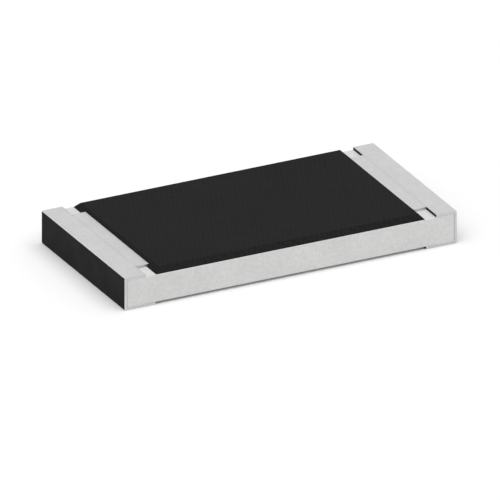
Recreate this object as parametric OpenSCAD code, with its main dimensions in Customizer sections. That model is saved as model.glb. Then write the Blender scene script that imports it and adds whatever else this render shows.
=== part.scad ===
// Surface-mount chip resistor, thick-film build on a ceramic plate.
// Millimetres, +Z up, length along X. The chip rests on its two solder lands at z = 0.

/* [Chip] */
// Length over both terminations
chip_length = 6.4; // [5:0.1:8]
// Width across the long sides
chip_width = 3.2; // [2.6:0.1:4.5]
// Thickness of the ceramic plate
substrate_thickness = 0.51; // [0.3:0.01:0.8]

/* [Terminations] */
// Reach of a termination over the top, from the chip's end
top_reach = 0.405; // [0.25:0.005:0.55]
// Reach of a solder land under the chip, from the chip's end
land_reach = 0.6; // [0.4:0.01:1]
// Margin beside the contact that runs on to the overcoat
contact_margin = 0.38; // [0.2:0.01:0.5]
// Tin plating, the outer layer
tin_thickness = 0.02; // [0.01:0.001:0.04]
// Nickel barrier under the tin
nickel_thickness = 0.01; // [0.005:0.001:0.02]
// End electrode on the plate's end
end_electrode_thickness = 0.03; // [0.01:0.001:0.05]
// End electrode where it laps over the printed electrodes
end_electrode_lap = 0.005; // [0.003:0.001:0.01]

/* [Printed layers] */
// Silver electrodes, top and bottom
electrode_thickness = 0.015; // [0.008:0.001:0.03]
// Margin beside a bottom electrode
bottom_electrode_margin = 0.15; // [0.08:0.01:0.3]
// Resistive film
film_thickness = 0.015; // [0.008:0.001:0.025]
// Margin beside the resistive film
film_margin = 0.55; // [0.45:0.01:0.8]
// Lap of the resistive film over each top electrode
film_lap = 0.25; // [0.1:0.01:0.5]
// Glass over the resistive film
glass_thickness = 0.012; // [0.006:0.001:0.02]
// Rim of glass round the resistive film
glass_rim = 0.06; // [0.03:0.01:0.12]
// Corner radius of a printed patch
print_corner = 0.05; // [0.02:0.01:0.1]

/* [Laser trim] */
// Width of the trim cut
kerf_width = 0.05; // [0.03:0.005:0.1]
// Place of the plunge cut, left of the middle
plunge_offset = 0.55; // [0.2:0.05:1]
// Depth of the plunge cut into the film
plunge_depth = 0.95; // [0.4:0.05:1.2]
// Length of the leg that turns along the film
leg_length = 1.2; // [0.4:0.05:1.6]

/* [Overcoat] */
// From the chip's end to the foot of the overcoat
coat_setback = 0.615; // [0.57:0.005:0.8]
// Margin from the overcoat to each long side
coat_margin = 0.008; // [0.002:0.002:0.1]
// Height over the ceramic plate
coat_thickness = 0.1; // [0.07:0.005:0.16]
// Run of the sloping edge
coat_slope = 0.092; // [0.05:0.002:0.15]
// Radius of the shoulder above the slope
coat_shoulder = 0.035; // [0.01:0.005:0.06]
// Reach of the overcoat past the resistive film
coat_cover = 0.3; // [0.2:0.01:0.5]

/* [Hidden] */
$fn = 64;

// Build-up of the layers over the plate's faces and over its ends
end_electrode_level = electrode_thickness + end_electrode_lap;
nickel_level = end_electrode_level + nickel_thickness;
tin_level = nickel_level + tin_thickness;
nickel_build = end_electrode_thickness + nickel_thickness;
tin_build = nickel_build + tin_thickness;
plating = nickel_thickness + tin_thickness;

// The chip and its plate
chip_half = chip_length / 2;
side_half = chip_width / 2;
plate_half = chip_half - tin_build;
plate_bottom = tin_level;
plate_top = plate_bottom + substrate_thickness;

// The contact, from the tin's side down to the printed electrode
contact_half = side_half - contact_margin;
electrode_half = contact_half - plating;

// The overcoat and what it covers
coat_half_length = chip_half - coat_setback;
coat_half_width = side_half - coat_margin;
film_half_length = coat_half_length - coat_cover;
film_half_width = side_half - film_margin;
gap_half = film_half_length - film_lap;

// Cutters run this far past what they cut
past = 0.5;

// A shape drawn at the right-hand end, repeated at the left-hand end
module at_left() {
    mirror([1, 0, 0])
        children();
}

// A section drawn in length and height, extruded across the chip
module across(half) {
    rotate([90, 0, 0])
        linear_extrude(height = 2 * half, center = true)
            children();
}

// A rectangle with round corners, centred
module rounded_patch(half_x, half_y, r) {
    square([2 * half_x, 2 * (half_y - r)], center = true);
    square([2 * (half_x - r), 2 * half_y], center = true);
    for (sx = [-1, 1], sy = [-1, 1])
        translate([sx * (half_x - r), sy * (half_y - r)])
            circle(r);
}

// A rectangle from the middle out to x_out, its two outer corners round
module round_ended(x_out, low, high, r) {
    translate([0, low])
        square([x_out - r, high - low]);
    translate([0, low + r])
        square([x_out, high - low - 2 * r]);
    for (y = [low + r, high - r])
        translate([x_out - r, y])
            circle(r);
}

// Section of a layer that wraps round the plate's end, from its top reach to its land reach
module wrap_section(level, build, trim, r) {
    difference() {
        round_ended(plate_half + build, plate_bottom - level, plate_top + level, r);
        translate([-past, plate_bottom])
            square([plate_half + past, substrate_thickness]);
        translate([-past, plate_bottom])
            square([chip_half - top_reach + trim + past, substrate_thickness + level + past]);
        translate([-past, plate_bottom - level - past])
            square([chip_half - land_reach + trim + past, level + past + substrate_thickness / 2]);
    }
}

// Envelope of one wrapped layer: trim is how far the layers over it close round its edges
module wrap_form(level, build, trim, r) {
    intersection() {
        across(chip_width)
            wrap_section(level, build, trim, r);
        linear_extrude(height = plate_top + tin_level + past)
            round_ended(plate_half + build, trim - side_half, side_half - trim, r);
    }
}

// Envelope of a plated contact, from the wrapped end to inside the overcoat
module contact_form(level, trim) {
    inner = coat_half_length - coat_slope;
    half = contact_half - trim;
    translate([inner, -half, plate_top])
        cube([plate_half - inner, 2 * half, level]);
}

// Printed top electrode: its inner corners are round, its outer end is flush with the plate
module top_electrode_form() {
    length = plate_half - gap_half;
    translate([0, 0, plate_top])
        linear_extrude(height = electrode_thickness)
            intersection() {
                translate([plate_half, 0])
                    rounded_patch(length, electrode_half, print_corner);
                translate([0, -side_half])
                    square([plate_half, chip_width]);
            }
}

// Printed bottom electrode
module bottom_electrode_form() {
    length = land_reach - tin_build - plating - end_electrode_lap;
    translate([0, 0, plate_bottom - electrode_thickness])
        linear_extrude(height = electrode_thickness)
            intersection() {
                translate([plate_half, 0])
                    rounded_patch(length, side_half - bottom_electrode_margin, print_corner);
                translate([0, -side_half])
                    square([plate_half, chip_width]);
            }
}

module end_electrode_form() {
    wrap_form(end_electrode_level, end_electrode_thickness, plating, end_electrode_lap);
}

module nickel_form() {
    wrap_form(nickel_level, nickel_build, tin_thickness, nickel_thickness);
    contact_form(nickel_level, tin_thickness);
}

module tin_form() {
    wrap_form(tin_level, tin_build, 0, plating);
    contact_form(tin_level, 0);
}

// Section of a print that lies on the plate and steps up over both electrodes
module draped_section(end, riser, thickness) {
    step = electrode_thickness;
    polygon([
        [-end, 0],
        [end, 0],
        [end, step + thickness],
        [riser, step + thickness],
        [riser, thickness],
        [-riser, thickness],
        [-riser, step + thickness],
        [-end, step + thickness]
    ]);
}

// Laser cut: a plunge in from the front edge, then a leg along the film, through film and glass
module trim_cut() {
    edge = -film_half_width - glass_rim;
    turn = -film_half_width + plunge_depth;
    depth = electrode_thickness + film_thickness + glass_thickness;
    translate([-plunge_offset, 0, plate_top])
        linear_extrude(height = depth + past) {
            translate([-kerf_width / 2, edge - past])
                square([kerf_width, turn - edge + past]);
            translate([0, turn - kerf_width / 2])
                square([leg_length, kerf_width]);
            for (x = [0, leg_length])
                translate([x, turn])
                    circle(d = kerf_width);
        }
}

// Resistive film before it is trimmed
module film_form() {
    difference() {
        intersection() {
            translate([0, 0, plate_top])
                across(film_half_width)
                    draped_section(film_half_length, gap_half - film_thickness, film_thickness);
            linear_extrude(height = plate_top + tin_level + past)
                rounded_patch(film_half_length, film_half_width, print_corner);
        }
        top_electrode_form();
        at_left()
            top_electrode_form();
    }
}

// Glass before it is trimmed, with the film and electrodes still in it
module glass_form() {
    end = film_half_length + glass_rim;
    half = film_half_width + glass_rim;
    cover = film_thickness + glass_thickness;
    intersection() {
        translate([0, 0, plate_top])
            across(half)
                draped_section(end, gap_half - cover, cover);
        linear_extrude(height = plate_top + tin_level + past)
            rounded_patch(end, half, print_corner + glass_rim);
    }
}

// Section of the overcoat: sloping edges with round shoulders
module coat_section(half) {
    angle = atan2(coat_thickness, coat_slope);
    r = min(coat_shoulder, 0.4 * coat_thickness);
    tangent = r * tan(angle / 2);
    crest = half - coat_slope;
    polygon([
        [-half, 0],
        [half, 0],
        [crest + tangent * cos(angle), coat_thickness - tangent * sin(angle)],
        [crest - tangent, coat_thickness],
        [tangent - crest, coat_thickness],
        [-crest - tangent * cos(angle), coat_thickness - tangent * sin(angle)]
    ]);
    for (side = [-1, 1])
        translate([side * (crest - tangent), coat_thickness - r])
            circle(r);
}

// Envelope of the overcoat, mitred where its sloping edges meet
module coat_form() {
    translate([0, 0, plate_top])
        intersection() {
            across(side_half)
                coat_section(coat_half_length);
            rotate([0, 0, 90])
                across(chip_half)
                    coat_section(coat_half_width);
        }
}

module ceramic_substrate() {
    color("#dadada")
        translate([-plate_half, -side_half, plate_bottom])
            cube([2 * plate_half, chip_width, substrate_thickness]);
}

module top_electrode_right() {
    color("#c8c2b4")
        top_electrode_form();
}

module top_electrode_left() {
    color("#c8c2b4")
        at_left()
            top_electrode_form();
}

module bottom_electrode_right() {
    color("#c8c2b4")
        bottom_electrode_form();
}

module bottom_electrode_left() {
    color("#c8c2b4")
        at_left()
            bottom_electrode_form();
}

module resistive_film() {
    color("#45413d")
        difference() {
            film_form();
            trim_cut();
        }
}

module glass_undercoat() {
    color("#6d7f6b")
        difference() {
            glass_form();
            film_form();
            top_electrode_form();
            at_left()
                top_electrode_form();
            trim_cut();
        }
}

module overcoat() {
    color("#2a2a2a")
        difference() {
            coat_form();
            top_electrode_form();
            at_left()
                top_electrode_form();
            resistive_film();
            glass_undercoat();
        }
}

module end_electrode_right() {
    color("#8f8f8c")
        difference() {
            end_electrode_form();
            top_electrode_form();
            bottom_electrode_form();
        }
}

module end_electrode_left() {
    at_left()
        end_electrode_right();
}

module nickel_barrier_right() {
    color("#b8b2a0")
        difference() {
            nickel_form();
            end_electrode_form();
            top_electrode_form();
            coat_form();
        }
}

module nickel_barrier_left() {
    at_left()
        nickel_barrier_right();
}

module tin_plating_right() {
    color("#cccccc")
        difference() {
            tin_form();
            nickel_form();
            coat_form();
        }
}

module tin_plating_left() {
    at_left()
        tin_plating_right();
}

ceramic_substrate();
top_electrode_left();
top_electrode_right();
bottom_electrode_left();
bottom_electrode_right();
resistive_film();
glass_undercoat();
overcoat();
end_electrode_left();
end_electrode_right();
nickel_barrier_left();
nickel_barrier_right();
tin_plating_left();
tin_plating_right();
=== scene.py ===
# %% [markdown]
# # A surface-mount chip resistor
# The real part is a thin plate of white alumina, 6.4 mm long. A resistor is printed on its top and
# sealed under a black coat, and a plated metal termination wraps round each end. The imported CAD
# model already holds every layer in its right place. It could be dressed as it is, but its small
# edges are sharp and catch no light. So it is loaded as a fixed frame, and the pieces that show are
# modelled again around it.

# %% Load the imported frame
import math

import bmesh
import bpy
from mathutils import Matrix, Vector


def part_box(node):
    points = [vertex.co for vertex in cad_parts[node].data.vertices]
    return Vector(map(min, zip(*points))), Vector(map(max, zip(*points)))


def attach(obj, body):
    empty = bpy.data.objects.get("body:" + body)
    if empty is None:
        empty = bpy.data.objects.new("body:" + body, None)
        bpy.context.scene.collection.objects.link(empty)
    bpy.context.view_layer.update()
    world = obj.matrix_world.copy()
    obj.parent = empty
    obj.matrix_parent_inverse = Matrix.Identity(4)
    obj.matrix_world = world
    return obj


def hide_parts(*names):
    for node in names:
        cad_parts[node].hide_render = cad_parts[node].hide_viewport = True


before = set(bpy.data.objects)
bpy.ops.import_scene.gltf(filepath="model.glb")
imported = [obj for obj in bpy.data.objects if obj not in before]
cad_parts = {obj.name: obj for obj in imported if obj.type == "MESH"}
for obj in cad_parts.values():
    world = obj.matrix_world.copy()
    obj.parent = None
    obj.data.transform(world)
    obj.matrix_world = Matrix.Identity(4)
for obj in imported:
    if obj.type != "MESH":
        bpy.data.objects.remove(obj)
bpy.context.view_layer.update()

print("nodes:", len(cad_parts))

# %% [markdown]
# ## Measures
# Blender works in metres, and this chip is a few millimetres long, so a unit for millimetres and
# one for microns keep the numbers readable. All lengths could be typed in, but then they could
# drift from the CAD model. So most of them come from the boxes of the CAD layers: the plate, the
# coat, and the layers of the right-hand end. The left-hand end is its mirror image.

# %% Read the layers' boxes
MM = 1e-3
MICRON = 1e-6

plate_low, plate_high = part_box("ceramic_substrate")
coat_low, coat_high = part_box("overcoat")
tin_low, tin_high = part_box("tin_plating_right")
nickel_low, nickel_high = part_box("nickel_barrier_right")
end_metal_low, end_metal_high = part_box("end_electrode_right")
electrode_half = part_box("top_electrode_right")[1].y

tin_skin = tin_high.x - nickel_high.x
plating = tin_high.x - end_metal_high.x
contact_half = electrode_half + plating
land_edge = end_metal_low.x - plating


def in_mm(*lengths):
    """Lengths in millimetres, rounded for printing."""
    return [round(length / MM, 3) for length in lengths]


print("thickness of the tin and half width of the contact in mm:", in_mm(tin_skin, contact_half))

# %% [markdown]
# ## Camera
# The picture is drawn in parallel projection: lines that run along the chip stay parallel, however
# far away they are. A common camera from very far off would come close to that, but an orthographic
# one is exact. Its turn and tilt come from the slopes of the chip's edges, and its scale from the
# known length.

# %% Aim an orthographic camera
VIEW_TURN = math.radians(-26.565)
VIEW_TILT = math.radians(24.11)
VIEW_WIDTH = 8.597 * MM
AIM_RIGHT = 0.0131 * MM
AIM_UP = -0.3986 * MM
CAMERA_DISTANCE = 50 * MM
NEAREST, FARTHEST = 1 * MM, 1000 * MM

to_camera = Vector((
    math.sin(VIEW_TURN) * math.cos(VIEW_TILT),
    -math.cos(VIEW_TURN) * math.cos(VIEW_TILT),
    math.sin(VIEW_TILT),
))
view_right = Vector((math.cos(VIEW_TURN), math.sin(VIEW_TURN), 0))
view_up = to_camera.cross(view_right)
aim = Vector((0, 0, tin_high.z / 2)) + AIM_RIGHT * view_right + AIM_UP * view_up

camera_data = bpy.data.cameras.new("camera")
camera_data.type = "ORTHO"
camera_data.ortho_scale = VIEW_WIDTH
camera_data.clip_start = NEAREST
camera_data.clip_end = FARTHEST
camera = bpy.data.objects.new("camera", camera_data)
axes = Matrix((view_right, view_up, to_camera)).transposed().to_4x4()
camera.matrix_world = Matrix.Translation(aim + CAMERA_DISTANCE * to_camera) @ axes
bpy.context.scene.collection.objects.link(camera)
bpy.context.scene.camera = camera
print("camera in mm:", in_mm(*camera.matrix_world.translation))

# %% [markdown]
# ## Helpers for node trees
# The light, the floor and every finish are trees of shader nodes. In the shader editor they would
# be wired by hand, and in a script each node takes several lines. These helpers put a node in a
# tree, feed a socket, reckon with numbers and spread a value over a new range, so that a tree reads
# much like a formula.

# %% Put, feed, reckon and spread
def put(tree, kind, values=None, **settings):
    """A new node with its settings made and its plain input values filled in."""
    made = tree.nodes.new(kind)
    for name, value in settings.items():
        setattr(made, name, value)
    for name, value in (values or {}).items():
        made.inputs[name].default_value = value
    return made


def feed(tree, term, socket):
    """Brings a term to a socket: another socket is linked, and a plain value is set."""
    if isinstance(term, bpy.types.NodeSocket):
        tree.links.new(term, socket)
    else:
        socket.default_value = term


def reckon(tree, operation, *terms):
    """A math node: each term is a socket or a number."""
    made = put(tree, "ShaderNodeMath", operation=operation)
    for slot, term in enumerate(terms):
        feed(tree, term, made.inputs[slot])
    return made.outputs[0]


def spread(tree, value, low, high, to_low=0.0, to_high=1.0):
    """The value's stretch from low to high, laid out from to_low to to_high and clamped."""
    made = put(tree, "ShaderNodeMapRange", {
        "From Min": low, "From Max": high, "To Min": to_low, "To Max": to_high})
    feed(tree, value, made.inputs["Value"])
    return made.outputs["Result"]


print("helpers ready")

# %% [markdown]
# ## Light
# A studio tent gives light from all sides, and one soft lamp above gives it a direction. The world
# is the tent: a plain even level that lights the chip, and plain white where the camera or a
# reflection looks at it, so that metal mirrors a white room. It has no bright spots, so Cycles
# needn't search it for any. The lamp could be an area lamp, but at this tiny scale its distance
# would need care. A sun has no distance, and a wide disc makes its shadows soft. It is kept out of
# reflections, because the white tent already fills them, and both together would burn the metal
# out. Tent and lamp light an upward face at about one, so a colour renders about as it is written.

# %% Light the tent and hang the lamp
WHITE = (1, 1, 1, 1)
TENT_LEVEL = 0.5
LAMP_LEVEL = 0.53
LAMP_DISC = math.radians(80)
LAMP_FROM = Vector((-0.05, -0.3, 0.95)).normalized()

bpy.context.scene.view_settings.view_transform = "Standard"


def seen_directly(tree):
    """One for rays from the camera, off a mirror or through glass, and zero for the rest."""
    path = put(tree, "ShaderNodeLightPath").outputs
    seen = reckon(tree, "MAXIMUM", path["Is Camera Ray"], path["Is Glossy Ray"])
    return reckon(tree, "MAXIMUM", seen, path["Is Transmission Ray"])


tent = bpy.data.worlds.new("tent")
tent.use_nodes = True
tent.cycles.sampling_method = "NONE"
background = tent.node_tree.nodes["Background"].inputs
feed(tent.node_tree, WHITE, background["Color"])
tent_level = spread(tent.node_tree, seen_directly(tent.node_tree), 0.0, 1.0, TENT_LEVEL, 1.0)
feed(tent.node_tree, tent_level, background["Strength"])
bpy.context.scene.world = tent

lamp_data = bpy.data.lights.new("soft_lamp", "SUN")
lamp_data.energy = math.pi * LAMP_LEVEL / LAMP_FROM.z
lamp_data.angle = LAMP_DISC
lamp = bpy.data.objects.new("soft_lamp", lamp_data)
lamp.rotation_euler = LAMP_FROM.to_track_quat("Z", "Y").to_euler()
lamp.visible_glossy = False
bpy.context.scene.collection.objects.link(lamp)
print("light on an upward face:", round(TENT_LEVEL + LAMP_LEVEL, 2))

# %% [markdown]
# ## Floor
# The chip lies on a plain white sheet. Studio paper curves up behind the part, but this camera
# looks down and sees only the flat stretch, so one large flat mesh will do. Where the camera sees
# it, it is pure white apart from the chip's shadow. The light that it throws back at the chip is a
# little lower, as from real paper.

# %% Lay the white sheet
SHEET_HALF = 150 * MM
SHEET_BOUNCE = 0.8

sheet_paper = bpy.data.materials.new("sheet_paper")
sheet_paper.use_nodes = True
paper_tree = sheet_paper.node_tree
paper = paper_tree.nodes["Principled BSDF"].inputs
feed(paper_tree, 1.0, paper["Roughness"])
feed(paper_tree, 0.0, paper["Specular IOR Level"])
paper_level = spread(paper_tree, seen_directly(paper_tree), 0.0, 1.0, SHEET_BOUNCE, 1.0)
feed(paper_tree, paper_level, paper["Base Color"])

sheet_mesh = bpy.data.meshes.new("white_sheet")
sheet_form = bmesh.new()
bmesh.ops.create_grid(sheet_form, x_segments=1, y_segments=1, size=SHEET_HALF)
sheet_form.to_mesh(sheet_mesh)
sheet_form.free()
sheet_mesh.materials.append(sheet_paper)
white_sheet = bpy.data.objects.new("white_sheet", sheet_mesh)
bpy.context.scene.collection.objects.link(white_sheet)
print("sides of the sheet in mm:", in_mm(2 * SHEET_HALF))

# %% [markdown]
# ## Effects that several finishes share
# Fired ceramic, printed inks and plated metal have a few things in common: a fine grain, slow
# drifts of tone, stray specks, and the faint weave that a printing screen leaves in anything
# pressed through it. A picture of them would blur close up and would have to be wrapped round the
# part. Patterns in the part's own coordinates stay sharp and need no wrapping. Each effect is a
# shader node group, built once and placed in the materials with its own sizes, which are real
# lengths on the part.

# %% Helpers for effects
FLOAT, VECTOR, COLOUR = "NodeSocketFloat", "NodeSocketVector", "NodeSocketColor"


def new_effect(name, inputs, outputs):
    """An empty node group with named sockets, and its inner input and output nodes."""
    group = bpy.data.node_groups.new(name, "ShaderNodeTree")
    for label, kind in inputs.items():
        group.interface.new_socket(name=label, in_out="INPUT", socket_type=kind)
    for label, kind in outputs.items():
        group.interface.new_socket(name=label, in_out="OUTPUT", socket_type=kind)
    return group, put(group, "NodeGroupInput").outputs, put(group, "NodeGroupOutput").inputs


def feed_pattern(group, texture, vector, size):
    """Lays a texture out on the vector, with features of a real size."""
    feed(group, vector, texture.inputs["Vector"])
    feed(group, reckon(group, "DIVIDE", 1.0, size), texture.inputs["Scale"])


print("effect helpers ready")

# %% [markdown]
# ### Fine grain and slow tone
# Grain is a noise pattern with a few finer octaves, given by the size of one grain. It serves as a
# height for bumps and as a value for small changes in gloss. Tone is a broad, soft noise that
# drifts between two colours, as fired and plated surfaces do. Noise seldom leaves the middle of its
# range, so the middle is spread out from zero to one. A Mix node has sockets for many kinds of
# value under the same names, so its colour sockets are picked by number.

# %% Build the grain and the tone
GRAIN_MIDDLE = (0.25, 0.75)
CLOUD_MIDDLE = (0.3, 0.7)
MIX_FIRST, MIX_SECOND, MIX_RESULT = 6, 7, 2


def mix(tree, share, first, second):
    """The first colour, mixed with a share of the second: each is a socket or a plain value."""
    made = put(tree, "ShaderNodeMix", data_type="RGBA")
    feed(tree, share, made.inputs["Factor"])
    feed(tree, first, made.inputs[MIX_FIRST])
    feed(tree, second, made.inputs[MIX_SECOND])
    return made.outputs[MIX_RESULT]


grain, given, wanted = new_effect(
    "fine_grain", {"Vector": VECTOR, "Size": FLOAT}, {"Height": FLOAT})
noise = put(grain, "ShaderNodeTexNoise", {"Detail": 3.0, "Roughness": 0.6})
feed_pattern(grain, noise, given["Vector"], given["Size"])
feed(grain, spread(grain, noise.outputs["Fac"], *GRAIN_MIDDLE), wanted["Height"])

tone, given, wanted = new_effect(
    "slow_tone",
    {"Vector": VECTOR, "Patch": FLOAT, "Dark": COLOUR, "Light": COLOUR},
    {"Color": COLOUR},
)
noise = put(tone, "ShaderNodeTexNoise", {"Detail": 2.0, "Roughness": 0.5})
feed_pattern(tone, noise, given["Vector"], given["Patch"])
cloud = spread(tone, noise.outputs["Fac"], *CLOUD_MIDDLE)
feed(tone, mix(tone, cloud, given["Dark"], given["Light"]), wanted["Color"])
print("effects:", grain.name, "and", tone.name)

# %% [markdown]
# ### Stray specks
# Pores, pits and dust are small dots, scattered with no order. Each could be modelled, but there
# are far too many. A cell pattern gives every cell a middle point, and the dots are what lies near
# those points. Every cell also has a random colour: its red sets the dot's size, and its green
# decides which half of the cells get a dot.

# %% Build the specks
SPECK_RIM = 0.4
CHOSEN_FROM, CHOSEN_TO = 0.45, 0.55

specks, given, wanted = new_effect(
    "stray_specks", {"Vector": VECTOR, "Spacing": FLOAT, "Reach": FLOAT}, {"Mask": FLOAT})
cells = put(specks, "ShaderNodeTexVoronoi", {"Randomness": 1.0})
feed_pattern(specks, cells, given["Vector"], given["Spacing"])
draw = put(specks, "ShaderNodeSeparateColor")
feed(specks, cells.outputs["Color"], draw.inputs["Color"])
reach = reckon(specks, "MULTIPLY", given["Reach"], draw.outputs["Red"])
inside = reckon(specks, "SUBTRACT", 1.0, reckon(specks, "DIVIDE", cells.outputs["Distance"], reach))
dot = spread(specks, inside, 0.0, SPECK_RIM)
chosen = spread(specks, draw.outputs["Green"], CHOSEN_FROM, CHOSEN_TO)
feed(specks, reckon(specks, "MULTIPLY", dot, chosen), wanted["Mask"])
print("effect:", specks.name)

# %% [markdown]
# ### The printing screen's weave
# Ink that is pressed through a woven screen keeps a trace of its threads. A Wave texture would give
# stripes in one direction only, so two sine waves are added, one across each set of threads. They
# are turned against the chip, as a printing screen is, so that its threads don't run along the
# print's edges.

# %% Build the weave
SCREEN_TURN = math.radians(22.5)

weave, given, wanted = new_effect(
    "screen_weave", {"Vector": VECTOR, "Pitch": FLOAT}, {"Height": FLOAT})
turned = put(weave, "ShaderNodeVectorRotate", {"Angle": SCREEN_TURN}, rotation_type="Z_AXIS")
feed(weave, given["Vector"], turned.inputs["Vector"])
screen = put(weave, "ShaderNodeSeparateXYZ")
feed(weave, turned.outputs["Vector"], screen.inputs["Vector"])
waves = []
for axis in "XY":
    threads_passed = reckon(weave, "DIVIDE", screen.outputs[axis], given["Pitch"])
    waves.append(reckon(weave, "SINE", reckon(weave, "MULTIPLY", threads_passed, math.tau)))
crossed = reckon(weave, "ADD", *waves)
feed(weave, spread(weave, crossed, -len(waves), len(waves)), wanted["Height"])
print("effect:", weave.name)

# %% [markdown]
# ## Finishes
# Each finish could be wired from scratch, but the wiring would hide what the finish is. So all of
# them start from the same bench: a material with Object coordinates, a Principled shader, and bumps
# that lie one on top of the other. A bump's depth is in metres, so it is a micron or so here. With
# the bench, a finish reads as a short recipe: a tone, tints where a mask is high, a range of gloss,
# and bumps.

# %% A bench for finishes
class Finish:
    """A material under construction."""

    def __init__(self, name, **constants):
        self.material = bpy.data.materials.new(name)
        self.material.use_nodes = True
        self.tree = self.material.node_tree
        self.shader = self.tree.nodes["Principled BSDF"].inputs
        for label, value in constants.items():
            self.shader[label.replace("_", " ")].default_value = value
        self.place = put(self.tree, "ShaderNodeTexCoord").outputs["Object"]

    def effect(self, group, vector=None, **values):
        """The outputs of a shared effect, placed with its own values."""
        made = put(self.tree, "ShaderNodeGroup", node_tree=group)
        feed(self.tree, vector or self.place, made.inputs["Vector"])
        for label, value in values.items():
            feed(self.tree, value, made.inputs[label])
        return made.outputs

    def stretched(self, *scale):
        """Coordinates that stretch a pattern along one axis."""
        made = put(self.tree, "ShaderNodeMapping", {"Scale": scale})
        feed(self.tree, self.place, made.inputs["Vector"])
        return made.outputs["Vector"]

    def peaks(self, height, start):
        """A mask that rises from zero at a starting height to one at the top."""
        return spread(self.tree, height, start, 1.0)

    def valleys(self, height):
        """A mask that is one in the deepest places and zero at the top."""
        return spread(self.tree, height, 0.0, 1.0, 1.0, 0.0)

    def tint(self, colour, mask, towards, share):
        """The colour, mixed with a share of another where the mask is high."""
        return mix(self.tree, reckon(self.tree, "MULTIPLY", mask, share), colour, towards)

    def colour(self, colour):
        """Gives the shader its colour."""
        feed(self.tree, colour, self.shader["Base Color"])

    def roughness(self, value, low, high):
        """Gives the shader a roughness that follows a value from low to high."""
        feed(self.tree, spread(self.tree, value, 0.0, 1.0, low, high), self.shader["Roughness"])

    def bump(self, *layers):
        """Gives the shader bumps, from pairs of a height and its depth in metres."""
        normal = None
        for height, depth in layers:
            made = put(self.tree, "ShaderNodeBump", {"Strength": 1.0, "Distance": depth})
            feed(self.tree, height, made.inputs["Height"])
            if normal:
                feed(self.tree, normal, made.inputs["Normal"])
            normal = made.outputs["Normal"]
        feed(self.tree, normal, self.shader["Normal"])


def grey(level, warmth=0.0):
    """A near-neutral colour: a little warmth lifts red and lowers blue."""
    return (level * (1 + warmth), level, level * (1 - warmth), 1)


print("bench ready")

# %% [markdown]
# ### White alumina
# The plate is fired alumina: matte and white, with a fine sintered grain, slow drifts of tone and a
# few dark pores. Its long sides are broken along a scored line, so they also carry fine marks that
# run up and down. The marks could be a pattern of their own, but the same grain does it when it is
# stretched.

# %% Alumina
WARMTH = 0.004
CRYSTAL_SHADE = (0.5, 0.5, 0.49, 1)
PORE_SHADE = (0.3, 0.3, 0.29, 1)
UP_AND_DOWN = (1, 1, 0.12)

alumina = Finish("white_alumina", Specular_IOR_Level=0.25)
fired = {"Dark": grey(0.745, WARMTH), "Light": grey(0.795, WARMTH)}
body = alumina.effect(tone, Patch=0.55 * MM, **fired)["Color"]
crystals = alumina.effect(grain, Size=48 * MICRON)["Height"]
pores = alumina.effect(specks, Spacing=0.13 * MM, Reach=0.13)["Mask"]
break_marks = alumina.effect(grain, alumina.stretched(*UP_AND_DOWN), Size=55 * MICRON)["Height"]

shaded = alumina.tint(body, alumina.valleys(crystals), CRYSTAL_SHADE, share=0.42)
alumina.colour(alumina.tint(shaded, pores, PORE_SHADE, share=0.3))
alumina.roughness(crystals, low=0.55, high=0.8)
alumina.bump((break_marks, 1.0 * MICRON), (crystals, 1.2 * MICRON))
print("finish:", alumina.material.name)

# %% [markdown]
# ### Matte tin
# The terminations are plated with matte tin. It is a metal, so it shows what is around it, but its
# crystals scatter the picture into a soft even grey. A plain grey paint would look like that from
# one side only. Tone and gloss drift a little across the tin, small pits dot it, and a slow bump
# keeps the large faces from looking machined.

# %% Tin
tin = Finish("matte_tin", Metallic=1.0)
skin = tin.effect(tone, Patch=0.3 * MM, Dark=grey(0.665), Light=grey(0.71))["Color"]
matte = tin.effect(grain, Size=46 * MICRON)["Height"]
swell = tin.effect(grain, Size=0.22 * MM)["Height"]
pits = tin.effect(specks, Spacing=0.1 * MM, Reach=0.2)["Mask"]

speckled = tin.tint(skin, tin.valleys(matte), grey(0.45), share=0.5)
pitted = tin.tint(speckled, pits, grey(0.3), share=0.25)
tin.roughness(matte, low=0.36, high=0.52)
tin.bump((swell, 0.8 * MICRON), (matte, 0.9 * MICRON))
print("finish:", tin.material.name)

# %% [markdown]
# Three marks lie on the tin, placed by where they are on the chip. The edge of the wrapped metal
# underneath shows through on top as a faint line, where the contact begins. The faces along the
# chip's long sides get painted shade: they are a little darker. The round edges of the ends get a
# painted highlight, brighter on some stretches than others. They could be three more finishes on
# strips of faces, but the borders would be hard. Masks made from the place on the chip fade softly.

# %% Line, painted shade and painted highlight on the tin
TOP_REACH = 0.405 * MM
CONTACT_START = tin_high.x - TOP_REACH
LINE_FADE = 40 * MICRON
SLIGHT_ROUND = 5 * MICRON
SIDE_FULL = 1 * MICRON
END_ROUND = 30 * MICRON
HIGHLIGHT_FULL = 9 * MICRON
HIGHLIGHT_RANGE = (0.1, 0.9)
LEAST_HIGHLIGHT = 0.2

on_chip = put(tin.tree, "ShaderNodeSeparateXYZ")
feed(tin.tree, tin.place, on_chip.inputs["Vector"])
along = reckon(tin.tree, "ABSOLUTE", on_chip.outputs["X"])
across = reckon(tin.tree, "ABSOLUTE", on_chip.outputs["Y"])

off_line = reckon(tin.tree, "ABSOLUTE", reckon(tin.tree, "SUBTRACT", along, CONTACT_START))
near_line = spread(tin.tree, off_line, 0.0, LINE_FADE, 1.0, 0.0)
on_top = reckon(tin.tree, "GREATER_THAN", on_chip.outputs["Z"], plate_high.z)
line = reckon(tin.tree, "MULTIPLY", near_line, on_top)
lined = tin.tint(pitted, line, grey(0.36), share=0.18)

# Painted shade: the faces along the chip's long sides are darkened a little.
side_shade = spread(tin.tree, across, tin_high.y - SLIGHT_ROUND, tin_high.y - SIDE_FULL)
side_shaded = tin.tint(lined, side_shade, grey(0.46), share=0.4)

# Painted highlight: the round edges of the ends are lightened, more on some stretches than others.
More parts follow.
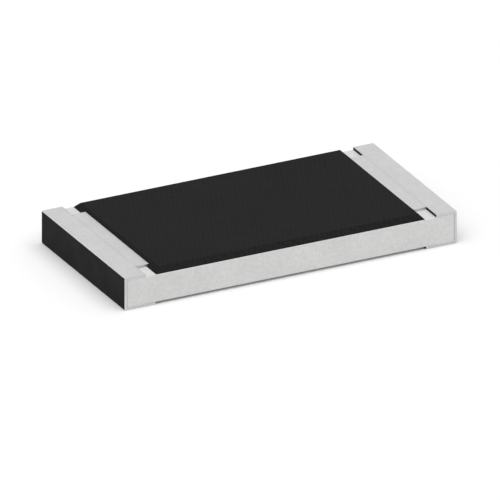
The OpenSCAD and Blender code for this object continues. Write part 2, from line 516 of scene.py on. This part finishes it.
at_end = spread(tin.tree, along, tin_high.x - END_ROUND, tin_high.x - HIGHLIGHT_FULL)
highlight_stretches = spread(tin.tree, swell, *HIGHLIGHT_RANGE, to_low=LEAST_HIGHLIGHT)
painted_highlight = reckon(tin.tree, "MULTIPLY", at_end, highlight_stretches)
tin.colour(tin.tint(side_shaded, painted_highlight, grey(0.82), share=0.5))
print("line on the contact, from the middle in mm:", in_mm(CONTACT_START))

# %% [markdown]
# ### Painted shade on the ends
# The faces of the terminations that look along the chip are painted nearly black and dull, as
# shade.
# One more mask in the tin could darken them, but bright metal and dull black differ in every
# setting.
# So the painted shade is a finish of its own: nearly black, with a rougher grain than the coat.

# %% Painted shade on the end faces
# Painted shade: the tin's end faces are given a nearly black colour.
painted_end_shade = Finish("painted_end_shade", Specular_IOR_Level=0.015)
shade_tone = painted_end_shade.effect(tone, Patch=0.35 * MM, Dark=grey(0.0185), Light=grey(0.0245))["Color"]
dull = painted_end_shade.effect(grain, Size=45 * MICRON)["Height"]

painted_end_shade.colour(painted_end_shade.tint(shade_tone, painted_end_shade.peaks(dull, start=0.3), grey(0.04), share=0.5))
painted_end_shade.roughness(dull, low=0.5, high=0.7)
painted_end_shade.bump((dull, 1.2 * MICRON))
print("finish:", painted_end_shade.material.name)

# %% [markdown]
# ### Black overcoat
# The coat is a black ink, pressed through a woven screen and cured. It is matte, and close to it
# shows the faint weave of the screen and a fine skin like orange peel. A few dust specks are cured
# into it. All of it could be modelled, but threads and peel are under a micron deep, so bumps and
# slight tints are enough.

# %% Overcoat
coat = Finish("black_coat", Specular_IOR_Level=0.008)
ink = coat.effect(tone, Patch=0.7 * MM, Dark=grey(0.0145), Light=grey(0.0165))["Color"]
threads = coat.effect(weave, Pitch=85 * MICRON)["Height"]
peel = coat.effect(grain, Size=50 * MICRON)["Height"]
dust = coat.effect(specks, Spacing=0.3 * MM, Reach=0.07)["Mask"]

skinned = coat.tint(ink, coat.peaks(peel, start=0.3), grey(0.032), share=0.4)
woven = coat.tint(skinned, coat.peaks(threads, start=0.4), grey(0.032), share=0.2)
coat.colour(coat.tint(woven, dust, grey(0.06), share=0.3))
coat.roughness(peel, low=0.45, high=0.62)
coat.bump((threads, 0.8 * MICRON), (peel, 0.8 * MICRON))
print("finish:", coat.material.name)

# %% [markdown]
# ### Layers inside
# The layers under the tin and the coat don't show in the finished part, but they are real pieces
# and anyone who takes the model apart sees them. They could be modelled again like the pieces that
# show, but nobody handles their edges. They are CAD nodes with the right shape already, so they
# only get their finishes: printed silver, resistive print, glass, nickel, and the metal of the
# ends.

# %% Finishes of the layers inside
INNER_PITCH = 70 * MICRON


def inner_finish(
        name, dark, light, patch, gloss, grain_size, relief, weave_relief=0.0, **constants):
    """A finish of tone, grain and, for a print, the screen's weave."""
    made = Finish(name, **constants)
    fine = made.effect(grain, Size=grain_size)["Height"]
    made.colour(made.effect(tone, Patch=patch, Dark=(*dark, 1), Light=(*light, 1))["Color"])
    made.roughness(fine, *gloss)
    layers = [(fine, relief)]
    if weave_relief:
        layers.append((made.effect(weave, Pitch=INNER_PITCH)["Height"], weave_relief))
    made.bump(*layers)
    return made.material


silver_print = inner_finish(
    "silver_print", dark=(0.5, 0.46, 0.39), light=(0.66, 0.62, 0.54), patch=0.12 * MM,
    gloss=(0.4, 0.6), grain_size=22 * MICRON, relief=0.9 * MICRON, weave_relief=1.0 * MICRON,
    Metallic=1.0)
resistive_print = inner_finish(
    "resistive_print", dark=(0.035, 0.032, 0.03), light=(0.085, 0.078, 0.07), patch=0.05 * MM,
    gloss=(0.45, 0.65), grain_size=18 * MICRON, relief=0.7 * MICRON, weave_relief=1.0 * MICRON,
    Specular_IOR_Level=0.4)
glass_print = inner_finish(
    "glass_print", dark=(0.13, 0.18, 0.12), light=(0.18, 0.24, 0.17), patch=0.3 * MM,
    gloss=(0.12, 0.24), grain_size=60 * MICRON, relief=0.4 * MICRON, weave_relief=0.5 * MICRON,
    Specular_IOR_Level=0.5)
nickel = inner_finish(
    "satin_nickel", dark=(0.44, 0.41, 0.34), light=(0.52, 0.49, 0.41), patch=0.2 * MM,
    gloss=(0.25, 0.4), grain_size=25 * MICRON, relief=0.5 * MICRON, Metallic=1.0)
end_metal = inner_finish(
    "end_metal", dark=(0.26, 0.26, 0.25), light=(0.34, 0.34, 0.33), patch=0.15 * MM,
    gloss=(0.4, 0.55), grain_size=25 * MICRON, relief=0.6 * MICRON, Metallic=1.0)
print("materials so far:", len(bpy.data.materials))

# %% [markdown]
# The left and the right layer of a kind have the same finish, so the nodes are matched by how their
# names start.

# %% Finish the layers inside
inner_layers = {
    "top_electrode": silver_print,
    "bottom_electrode": silver_print,
    "resistive_film": resistive_print,
    "glass_undercoat": glass_print,
    "end_electrode": end_metal,
    "nickel_barrier": nickel,
}
for name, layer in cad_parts.items():
    for kind, finish in inner_layers.items():
        if name.startswith(kind):
            layer.data.materials.clear()
            layer.data.materials.append(finish)
            print(name, "is finished as", finish.name)

# %% [markdown]
# ## From a rough form to a piece
# Each piece that shows is modelled with sharp corners first, as a form that starts from a block or
# an outline. It could be rounded from the start, but sharp corners are easier to find and to move.
# How far an edge is rounded later is written on the edge as a bevel weight.

# %% Rough forms with weights on their edges
def new_form():
    """An empty form whose edges can carry a bevel weight."""
    form = bmesh.new()
    form.edges.layers.float.new("bevel_weight_edge")
    return form


def block(low, high):
    """A box between two corners, as a new form."""
    form = new_form()
    bmesh.ops.create_cube(form, size=1.0)
    bmesh.ops.scale(form, vec=high - low, verts=form.verts)
    bmesh.ops.translate(form, vec=(low + high) / 2, verts=form.verts)
    return form


def weigh_edges(form, weight_of):
    """Writes a bevel weight on every edge of the form."""
    weights = form.edges.layers.float["bevel_weight_edge"]
    for edge in form.edges:
        edge[weights] = weight_of(edge)


print("forms can be weighed")

# %% [markdown]
# The bevel operator could round the edges one kind after the other, but corners where a large and a
# small rounding meet would break. One Bevel modifier rounds all of them together, so such corners
# come out whole. It also hardens the normals, which keeps the flat faces flat in shading. Its clamp
# is off, because one thin lip would shrink every rounding on the piece. Boolean modifiers before it
# can take other forms away. The result is kept as the piece's own mesh, and the passing meshes are
# removed.

# %% Cut and round a form
EDGE_STEPS = 4
CREASE = math.radians(35)


def on_bench(name, form):
    """A passing object that holds the form's mesh while modifiers work on it."""
    mesh = bpy.data.meshes.new(name + "_rough")
    form.to_mesh(mesh)
    form.free()
    holder = bpy.data.objects.new(mesh.name, mesh)
    bpy.context.scene.collection.objects.link(holder)
    return holder


def rounded_mesh(name, form, width, cutters=()):
    """The form's mesh, less the cutters, with its weighted edges rounded by shares of a width."""
    holder = on_bench(name, form)
    holder.data.shade_smooth()
    holder.data.set_sharp_from_angle(angle=CREASE)
    for cutter in cutters:
        cut = holder.modifiers.new(cutter.name, "BOOLEAN")
        cut.operation = "DIFFERENCE"
        cut.solver = "EXACT"
        cut.object = cutter
    rounding = holder.modifiers.new("rounding", "BEVEL")
    rounding.affect = "EDGES"
    rounding.limit_method = "WEIGHT"
    rounding.offset_type = "OFFSET"
    rounding.width = width
    rounding.segments = EDGE_STEPS
    rounding.profile = 0.5
    rounding.material = -1
    rounding.use_clamp_overlap = False
    rounding.harden_normals = True
    depsgraph = bpy.context.evaluated_depsgraph_get()
    shaped = holder.evaluated_get(depsgraph)
    mesh = bpy.data.meshes.new_from_object(
        shaped, preserve_all_data_layers=True, depsgraph=depsgraph)
    mesh.name = name
    for passing in (holder, *cutters):
        bpy.data.meshes.remove(passing.data)
    return mesh


print("edges are rounded in", EDGE_STEPS, "steps")

# %% [markdown]
# A finished mesh becomes a piece of the chip. It could be linked to the scene and left at that, but
# then nothing would tell what it is. So it is filed: it gets its finishes, it rides on the one body
# that the chip has, and the CAD layer that it takes the place of is hidden.

# %% File a piece
def file_piece(name, mesh, node, slot, *finishes):
    """Gives the mesh its finishes, makes it a piece of the chip on its body, and hides the CAD node
    it replaces.
    """
    mesh.materials.clear()
    for finish in finishes:
        mesh.materials.append(finish)
    piece = bpy.data.objects.new(name, mesh)
    bpy.context.scene.collection.objects.link(piece)
    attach(piece, "root")
    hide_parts(node)
    print(name, "has", len(mesh.polygons), "faces")


print("ready to file pieces")

# %% [markdown]
# ## The plate
# The plate is snapped out of a larger scored sheet, so its edges are crisp but not razor sharp. A
# box with a rounding of a few microns is all it needs. Without that rounding its edges would catch
# no light at all.

# %% Alumina plate
PLATE_EDGE = 8 * MICRON

plate_form = block(plate_low, plate_high)
weigh_edges(plate_form, lambda edge: 1.0)
plate_mesh = rounded_mesh("alumina_plate", plate_form, PLATE_EDGE)
file_piece("alumina_plate", plate_mesh, "ceramic_substrate", "alumina", alumina.material)

# %% [markdown]
# ## The overcoat
# The ink flows out a little before it cures, so the coat has a flat top, sloping edges all round
# and a soft shoulder between them. An extruded outline would slope on two sides only. A box whose
# top is drawn in slopes on all four. The weights say which edges the shoulder runs along. The run
# of the slope and the radius of the shoulder can't be read from a box, so they are written here as
# in the CAD model.

# %% Sloping block of the coat
COAT_SLOPE = 92 * MICRON
COAT_SHOULDER = 35 * MICRON
COAT_HIP = 6 * MICRON

coat_form = block(coat_low, coat_high)
crest = [v for v in coat_form.verts if v.co.z > (coat_low.z + coat_high.z) / 2]
draw_in = Vector((1 - COAT_SLOPE / coat_high.x, 1 - COAT_SLOPE / coat_high.y, 1))
bmesh.ops.scale(coat_form, vec=draw_in, verts=crest)

coat_height = coat_high.z - coat_low.z
slope_angle = math.atan2(coat_height, COAT_SLOPE)
shoulder_reach = COAT_SHOULDER * math.tan(slope_angle / 2)


def coat_weight(edge):
    """Full rounding on the shoulder, a slight one down the hips, none on the foot."""
    on_crest = sum(v in crest for v in edge.verts)
    return (0.0, COAT_HIP / shoulder_reach, 1.0)[on_crest]


weigh_edges(coat_form, coat_weight)
print("coat slopes at", round(math.degrees(slope_angle), 1), "degrees")

# %% [markdown]
# Underneath, the coat is a cast of the printed layers that it seals, and it fills the cut that the
# laser made in them. Modelling that by hand would repeat every layer, so Boolean modifiers take the
# layers away from the block. The CAD layers are loose triangles, so copies of them are merged into
# closed forms first, and their stored normals, which no longer fit, are dropped. A Boolean is
# exact, and where two forms almost touch it leaves a thin skin. So the copies are snapped to a fine
# grid, which makes layers that touch exactly flush, and they reach a little into the plate.

# %% Black coat, cast over the printed layers
SEALED_LAYERS = ("top_electrode_left", "top_electrode_right", "resistive_film", "glass_undercoat")
CLOSE = 0.5 * MICRON
MERGE = 0.05 * MICRON
SNAP = 0.1 * MICRON
CUT_PAST = 20 * MICRON
FLAT = math.radians(1)


def layer_cutter(node):
    """A merged copy of a CAD layer that lies on the plate, made to reach into the plate."""
    form = bmesh.new()
    form.from_mesh(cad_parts[node].data)
    bmesh.ops.remove_doubles(form, verts=form.verts, dist=MERGE)
    for vert in form.verts:
        vert.co = [SNAP * round(c / SNAP) for c in vert.co]
    bmesh.ops.dissolve_limit(form, angle_limit=FLAT, verts=form.verts, edges=form.edges)
    on_plate = [v for v in form.verts if v.co.z < plate_high.z + CLOSE]
    bmesh.ops.translate(form, vec=Vector((0, 0, -CUT_PAST)), verts=on_plate)
    cutter = on_bench(node, form)
    stored_normals = cutter.data.attributes.get("custom_normal")
    if stored_normals:
        cutter.data.attributes.remove(stored_normals)
    cutter.data.shade_flat()
    return cutter


layer_cutters = [layer_cutter(node) for node in SEALED_LAYERS]
coat_mesh = rounded_mesh("black_coat", coat_form, shoulder_reach, layer_cutters)
file_piece("black_coat", coat_mesh, "overcoat", "black_overcoat", coat.material)

# %% [markdown]
# ## Finding parts of a form
# A termination takes several steps, and each step works on parts that the step before it made. In
# the editor they would be selected by hand. A script finds them by where they lie and where they
# look.

# %% Find vertices and faces
X, Y, Z = range(3)
FACING = 0.7


def verts_in(parts):
    """The vertices among the parts that an operator gives back."""
    return [part for part in parts if isinstance(part, bmesh.types.BMVert)]


def faces_at(form, axis, level):
    """Faces that lie in the plane where an axis has the level."""
    return [f for f in form.faces if all(abs(v.co[axis] - level) < CLOSE for v in f.verts)]


def looks_along(axis, face):
    """Whether a face looks along an axis, forwards or back."""
    return abs(face.normal[axis]) > FACING


print("parts can be found to within mm:", in_mm(CLOSE))

# %% [markdown]
# ## The terminations
# A termination is a C in side view: a leg over the top, the end, and a longer leg underneath, which
# is the solder land. It could be cut out of a block, but eight points are enough for that outline.
# It is extruded across the chip.

# %% Outline of a termination, extruded across the chip
def wrapped_end():
    """The C of the right-hand termination, as a new form with sharp edges."""
    form = new_form()
    outline = [
        (CONTACT_START, plate_high.z),
        (CONTACT_START, tin_high.z),
        (tin_high.x, tin_high.z),
        (tin_high.x, tin_low.z),
        (land_edge, tin_low.z),
        (land_edge, plate_low.z),
        (plate_high.x, plate_low.z),
        (plate_high.x, plate_high.z),
    ]
    side = form.faces.new([form.verts.new((x, tin_low.y, z)) for x, z in outline])
    grown = bmesh.ops.extrude_face_region(form, geom=[side])["geom"]
    across_chip = Vector((0, tin_high.y - tin_low.y, 0))
    bmesh.ops.translate(form, vec=across_chip, verts=verts_in(grown))
    bmesh.ops.recalc_face_normals(form, faces=form.faces)
    return form


print("top leg and land in mm:", in_mm(TOP_REACH, tin_high.x - land_edge))

# %% [markdown]
# A narrower contact runs on from the top leg and ends against the coat's slope. It could be a
# second block, but then a seam would run across the metal. So the top leg is cut by two upright
# planes, and the middle of its inner end is extruded towards the coat. The upper corners go further
# than the lower ones, because the coat leans back. The new corners are put exactly on the plane, so
# that every run gives the same shape.

# %% Contact that runs on to the coat
def coat_edge(height):
    """Where the coat's slope is, as a distance from the middle, at a height over the plate."""
    return coat_high.x - COAT_SLOPE * height / coat_height


def with_contact(form):
    """The form with the contact grown out of its top leg."""
    for y in (-contact_half, contact_half):
        upper = [f for f in form.faces if f.calc_center_median().z > plate_high.z - CLOSE]
        leg = [f for f in upper if not looks_along(Y, f)]
        parts = {*leg, *(e for f in leg for e in f.edges), *(v for f in leg for v in f.verts)}
        cut = bmesh.ops.bisect_plane(
            form, geom=list(parts),
            plane_co=Vector((0, y, 0)), plane_no=Vector((0, 1, 0)))["geom_cut"]
        for vert in verts_in(cut):
            vert.co.y = y
    middle = min(faces_at(form, X, CONTACT_START), key=lambda f: abs(f.calc_center_median().y))
    grown = bmesh.ops.extrude_face_region(form, geom=[middle])["geom"]
    bmesh.ops.delete(form, geom=[middle], context="FACES_ONLY")
    for vert in verts_in(grown):
        vert.co.x = coat_edge(vert.co.z - plate_high.z)
    bmesh.ops.recalc_face_normals(form, faces=form.faces)
    return form


print("width of the contact in mm:", in_mm(2 * contact_half))

# %% [markdown]
# The edges round the end face get the large rounding that plating builds up, and every other outer
# edge a slight one. They could be picked by hand in the editor. A script finds them by where they
# lie and how sharp they are. The weights are shares of the large rounding.

# %% Edges that are rounded
def edge_weights(form):
    """The bevel weight of each sharp outer edge."""
    weights = {}
    for edge in form.edges:
        if all(abs(v.co.x - tin_high.x) < CLOSE for v in edge.verts):
            weights[edge] = 1.0
        elif edge.is_convex and edge.calc_face_angle(0) > CREASE:
            weights[edge] = SLIGHT_ROUND / END_ROUND
    return weights


print("roundings in mm:", in_mm(END_ROUND, SLIGHT_ROUND))

# %% [markdown]
# Inside, the shell is hollow, and the nickel lies there. Cutting the nickel out would be exact, but
# the hollow is simple enough for two insets: the faces towards the plate are inset by the tin's
# thickness and then pushed into the metal. The end is pushed in deeper, as far as the nickel goes.
# The nickel also comes close up to the coat, so there the hollow is drawn out until only a thin lip
# of tin is left.

# %% Hollow for the nickel
COAT_LIP = 2 * MICRON


def hollowed(form):
    """The form with a hollow for the nickel on the side towards the plate."""
    seat = []
    for axis, level in ((Z, plate_high.z), (X, plate_high.x), (Z, plate_low.z)):
        seat += faces_at(form, axis, level)
    bmesh.ops.inset_region(form, faces=seat, thickness=tin_skin, use_even_offset=True)
    depth = plate_low.z - nickel_low.z
    bmesh.ops.inset_region(form, faces=seat, thickness=0, depth=-depth, use_even_offset=True)
    deepest = {v for f in seat for v in f.verts if v.co.x > plate_high.x + depth / 2}
    deeper = Vector((nickel_high.x - plate_high.x - depth, 0, 0))
    bmesh.ops.translate(form, vec=deeper, verts=list(deepest))
    for vert in form.verts:
        if abs(vert.co.x - coat_high.x - tin_skin) < CLOSE:
            vert.co.x = coat_edge(vert.co.z - plate_high.z) + COAT_LIP
    return form


print("lip at the coat in mm:", in_mm(COAT_LIP))

# %% [markdown]
# Both ends come from the same form. The left-hand one is mirrored, and its normals are recalculated
# because a mirror turns a mesh inside out. Last, every face that looks along the chip gets the
# painted shade, so the border of the painted shade falls in the middle of the round edge.

# %% Both terminations
for hand, side in (("right", 1), ("left", -1)):
    form = with_contact(wrapped_end())
    weights = edge_weights(form)
    hollowed(form)
    bmesh.ops.scale(form, vec=Vector((side, 1, 1)), verts=form.verts)
    bmesh.ops.recalc_face_normals(form, faces=form.faces)
    weigh_edges(form, lambda edge: weights.get(edge, 0.0))
    name = "termination_" + hand
    mesh = rounded_mesh(name, form, END_ROUND)
    file_piece(name, mesh, "tin_plating_" + hand, "tin", tin.material, painted_end_shade.material)
    # Faces that look along the chip get the painted shade, the rest the tin.
    for face in mesh.polygons:
        face.material_index = int(looks_along(X, face))
